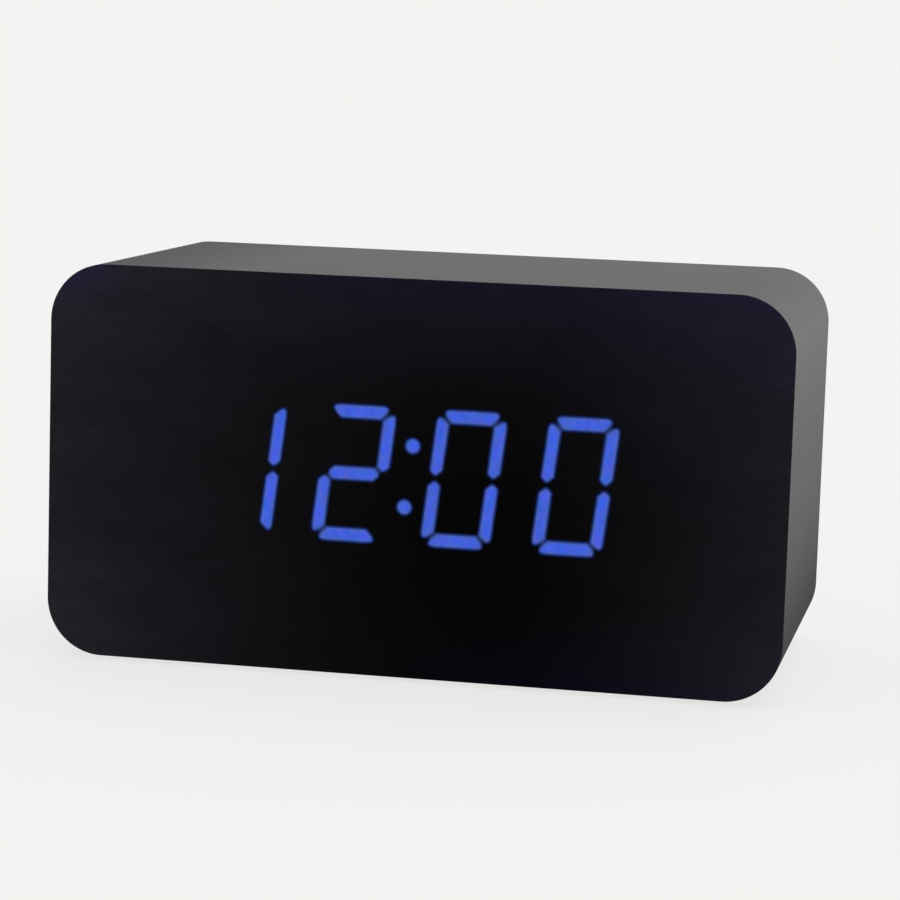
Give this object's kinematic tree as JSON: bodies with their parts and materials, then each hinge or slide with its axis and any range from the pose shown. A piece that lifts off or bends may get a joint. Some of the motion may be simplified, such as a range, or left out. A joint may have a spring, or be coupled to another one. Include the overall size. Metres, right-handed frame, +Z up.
{
  "type": "digital alarm clock",
  "caption": "Block-shaped digital alarm clock with rounded corners, a slanted blue segment display behind a black front film, push buttons and a battery bay at the back.",
  "frame": {"origin": "on the surface it stands on, under the middle of the block", "axes": "+Z up; the display faces -Y; +X is to the right of someone who reads the display"},
  "size_m": [0.13, 0.065, 0.07],
  "materials": {
    "case_wrap": "fibreboard block wrapped in a satin black film",
    "front_film": "satin black film that the display shines through",
    "raw_board": "bare fibreboard",
    "lit_diffuser": "translucent diffuser lit blue from behind",
    "white_plastic": "moulded, satin",
    "cover_plastic": "moulded black plastic with a fine matt grain",
    "button_plastic": "moulded black plastic, satin",
    "chip_plastic": "moulded epoxy, matt",
    "circuit_board": "solder mask over fibreglass",
    "cable_grey": "flat cable, satin",
    "red_lead": "insulated wire",
    "black_lead": "insulated wire",
    "screw_steel": "blackened steel screw",
    "contact_metal": "nickel plated sheet and wire",
    "cell_wrap": "plain printed sleeve over a metal can",
    "foot_rubber": "soft matt rubber"
  },
  "bodies": {
    "root": {"case_shell": "case_wrap", "front_board": "raw_board", "front_film": "front_film", "digit_diffuser_1": "lit_diffuser", "digit_diffuser_2": "lit_diffuser", "digit_diffuser_3": "lit_diffuser", "digit_diffuser_4": "lit_diffuser", "colon_diffuser": "lit_diffuser", "reflector_housing": "white_plastic", "display_board": "circuit_board", "display_driver": "chip_plastic", "display_connector": "white_plastic", "display_screw_1": "screw_steel", "display_screw_2": "screw_steel", "display_screw_3": "screw_steel", "display_screw_4": "screw_steel", "ribbon_cable": "cable_grey", "main_connector": "white_plastic", "main_board": "circuit_board", "microcontroller": "chip_plastic", "crystal": "contact_metal", "capacitor": "chip_plastic", "buzzer": "chip_plastic", "set_switch": "chip_plastic", "up_switch": "chip_plastic", "down_switch": "chip_plastic", "power_socket": "chip_plastic", "board_screw_1": "screw_steel", "board_screw_2": "screw_steel", "board_screw_3": "screw_steel", "rear_cover": "cover_plastic", "cover_screw_1": "screw_steel", "cover_screw_2": "screw_steel", "cover_screw_3": "screw_steel", "cover_screw_4": "screw_steel", "battery_cell_1": "cell_wrap", "battery_cell_2": "cell_wrap", "battery_cell_3": "cell_wrap", "battery_cell_4": "cell_wrap", "contact_link_1": "contact_metal", "contact_link_2": "contact_metal", "contact_link_3": "contact_metal", "contact_positive": "contact_metal", "contact_negative": "contact_metal", "positive_lead": "red_lead", "negative_lead": "black_lead", "foot_1": "foot_rubber", "foot_2": "foot_rubber", "foot_3": "foot_rubber", "foot_4": "foot_rubber"},
    "battery_door": {"battery_door": "cover_plastic", "battery_door_latch": "cover_plastic"},
    "set_button": {"set_button": "button_plastic", "set_plunger": "white_plastic"},
    "up_button": {"up_button": "button_plastic", "up_plunger": "white_plastic"},
    "down_button": {"down_button": "button_plastic", "down_plunger": "white_plastic"}
  },
  "joints": [
    {"name": "set_press", "type": "slide", "parent": "root", "child": "set_button", "axis": [0, -1, 0], "range_m": [0, 0.0005], "stiffness_N_per_m": 400, "springref_m": -0.001},
    {"name": "up_press", "type": "slide", "parent": "root", "child": "up_button", "axis": [0, -1, 0], "range_m": [0, 0.0005], "stiffness_N_per_m": 400, "springref_m": -0.001},
    {"name": "down_press", "type": "slide", "parent": "root", "child": "down_button", "axis": [0, -1, 0], "range_m": [0, 0.0005], "stiffness_N_per_m": 400, "springref_m": -0.001},
    {"name": "door_swing", "type": "hinge", "parent": "root", "child": "battery_door", "pos_m": [-0.055, 0.0315, 0.0354], "axis": [0, 0, 1], "range_deg": [0, 60], "deforming": ["battery_door_latch"]}
  ]
}
